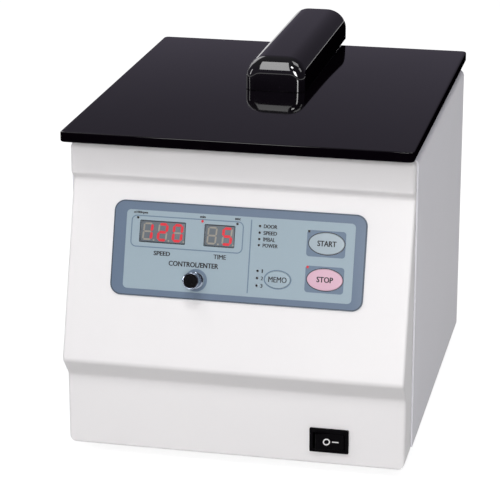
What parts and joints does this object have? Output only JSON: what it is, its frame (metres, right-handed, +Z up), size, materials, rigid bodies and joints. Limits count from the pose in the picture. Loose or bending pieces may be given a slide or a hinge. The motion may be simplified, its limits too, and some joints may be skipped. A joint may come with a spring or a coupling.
{
  "type": "hematocrit centrifuge",
  "caption": "Bench-top hematocrit centrifuge: box body with sloped control panel, glossy flat lid on a rear hinge with a bar handle, and a slotted disc rotor in a round chamber.",
  "frame": {"origin": "middle of the machine's footprint, on the bench surface under its four feet", "axes": "+Z up, +Y from the control panel to the hinge at the back, +X to the user's right"},
  "size_m": [0.25, 0.337, 0.2675],
  "materials": {
    "white_abs": "fine moulded satin",
    "grey_shell": "fine textured satin",
    "black_gloss": "polished",
    "black_plastic": "satin moulded",
    "panel_film": "printed matt film",
    "key_grey": "printed matt film",
    "key_pink": "printed matt film",
    "display_lens": "smooth lens",
    "chrome_plate": "plated",
    "stainless_steel": "spun and brushed",
    "rotor_aluminium": "turned and anodised",
    "plated_steel": "zinc plated",
    "black_rubber": "matt moulded",
    "circuit_board": "lacquered board",
    "winding_copper": "enamelled wire"
  },
  "bodies": {
    "root": {"base_plate": "plated_steel", "front_cover": "white_abs", "body_cover": "grey_shell", "foot_front_left": "black_rubber", "foot_front_right": "black_rubber", "foot_rear_left": "black_rubber", "foot_rear_right": "black_rubber", "chamber_bowl": "stainless_steel", "chamber_gasket": "black_rubber", "shaft_boot": "black_rubber", "motor_damper_1": "black_rubber", "motor_damper_2": "black_rubber", "motor_damper_3": "black_rubber", "motor_plate": "plated_steel", "motor_housing": "rotor_aluminium", "bearing_lower": "plated_steel", "bearing_upper": "plated_steel", "motor_stator": "winding_copper", "hinge_bracket": "plated_steel", "hinge_pin": "plated_steel", "lock_bracket": "plated_steel", "lock_solenoid": "black_plastic", "lid_switch": "black_plastic", "membrane_panel": "panel_film", "speed_display": "display_lens", "time_display": "display_lens", "control_board": "circuit_board", "encoder_body": "plated_steel", "power_switch_body": "black_plastic", "rear_panel": "grey_shell", "fan_frame": "black_plastic", "fan_guard": "chrome_plate", "mains_inlet": "black_plastic", "inlet_pins": "plated_steel", "drive_board": "circuit_board", "transformer": "plated_steel", "imbalance_switch": "plated_steel"},
    "lid": {"lid_plate": "black_gloss", "lid_handle": "black_gloss", "lid_liner": "rotor_aluminium", "lid_arm": "plated_steel", "lid_striker": "plated_steel", "lid_screw_front": "plated_steel", "lid_screw_rear": "plated_steel"},
    "rotor": {"rotor_plate": "rotor_aluminium", "rotor_seal": "black_rubber", "rotor_spindle": "plated_steel", "motor_armature": "plated_steel"},
    "rotor_cover": {"rotor_cover": "rotor_aluminium"},
    "rotor_knob": {"rotor_knob": "black_plastic"},
    "fan": {"fan_rotor": "black_plastic"},
    "encoder_plunger": {"encoder_plunger": "plated_steel"},
    "control_knob": {"control_knob": "chrome_plate", "knob_shaft": "plated_steel"},
    "start_key": {"start_key": "key_grey"},
    "stop_key": {"stop_key": "key_pink"},
    "memo_key": {"memo_key": "key_grey"},
    "power_rocker": {"power_rocker": "black_plastic"},
    "lock_bolt": {"lock_bolt": "chrome_plate"}
  },
  "joints": [
    {"name": "lid_hinge", "type": "hinge", "parent": "root", "child": "lid", "pos_m": [0, 0.1545, 0.231], "axis": [-1, 0, 0], "range_deg": [0, 80]},
    {"name": "rotor_spin", "type": "hinge", "parent": "root", "child": "rotor", "pos_m": [0, 0.0095, 0.205], "axis": [0, 0, 1], "continuous": true},
    {"name": "cover_lift", "type": "slide", "parent": "rotor", "child": "rotor_cover", "axis": [0, 0, 1], "range_m": [0, 0.003]},
    {"name": "rotor_knob_turn", "type": "hinge", "parent": "rotor_cover", "child": "rotor_knob", "pos_m": [0, 0.0095, 0.22], "axis": [0, 0, 1], "range_deg": [0, 1080.1]},
    {"name": "fan_spin", "type": "hinge", "parent": "root", "child": "fan", "pos_m": [-0.0475, 0.1305, 0.0754], "axis": [0, 1, 0], "continuous": true},
    {"name": "knob_press", "type": "slide", "parent": "root", "child": "encoder_plunger", "axis": [0, 0.9537, -0.3007], "range_m": [0, 0.0005], "stiffness_N_per_m": 4000},
    {"name": "knob_turn", "type": "hinge", "parent": "encoder_plunger", "child": "control_knob", "pos_m": [-0.02861, -0.14928, 0.13767], "axis": [0, -0.9537, 0.3007], "continuous": true},
    {"name": "start_press", "type": "slide", "parent": "root", "child": "start_key", "axis": [0, 0.9537, -0.3007], "range_m": [0, 0.0005], "stiffness_N_per_m": 3000},
    {"name": "stop_press", "type": "slide", "parent": "root", "child": "stop_key", "axis": [0, 0.9537, -0.3007], "range_m": [0, 0.0005], "stiffness_N_per_m": 3000},
    {"name": "memo_press", "type": "slide", "parent": "root", "child": "memo_key", "axis": [0, 0.9537, -0.3007], "range_m": [0, 0.0005], "stiffness_N_per_m": 3000},
    {"name": "power_switch", "type": "hinge", "parent": "root", "child": "power_rocker", "pos_m": [0.0691, -0.1528, 0.0265], "axis": [0, 0, -1], "range_deg": [0, 16]},
    {"name": "lock_slide", "type": "slide", "parent": "root", "child": "lock_bolt", "axis": [-1, 0, 0], "range_m": [0, 0.005], "stiffness_N_per_m": 120}
  ],
  "couplings": [
    {"joint": "rotor_knob_turn", "follows": "cover_lift", "rad_per_m": 6283.2}
  ]
}
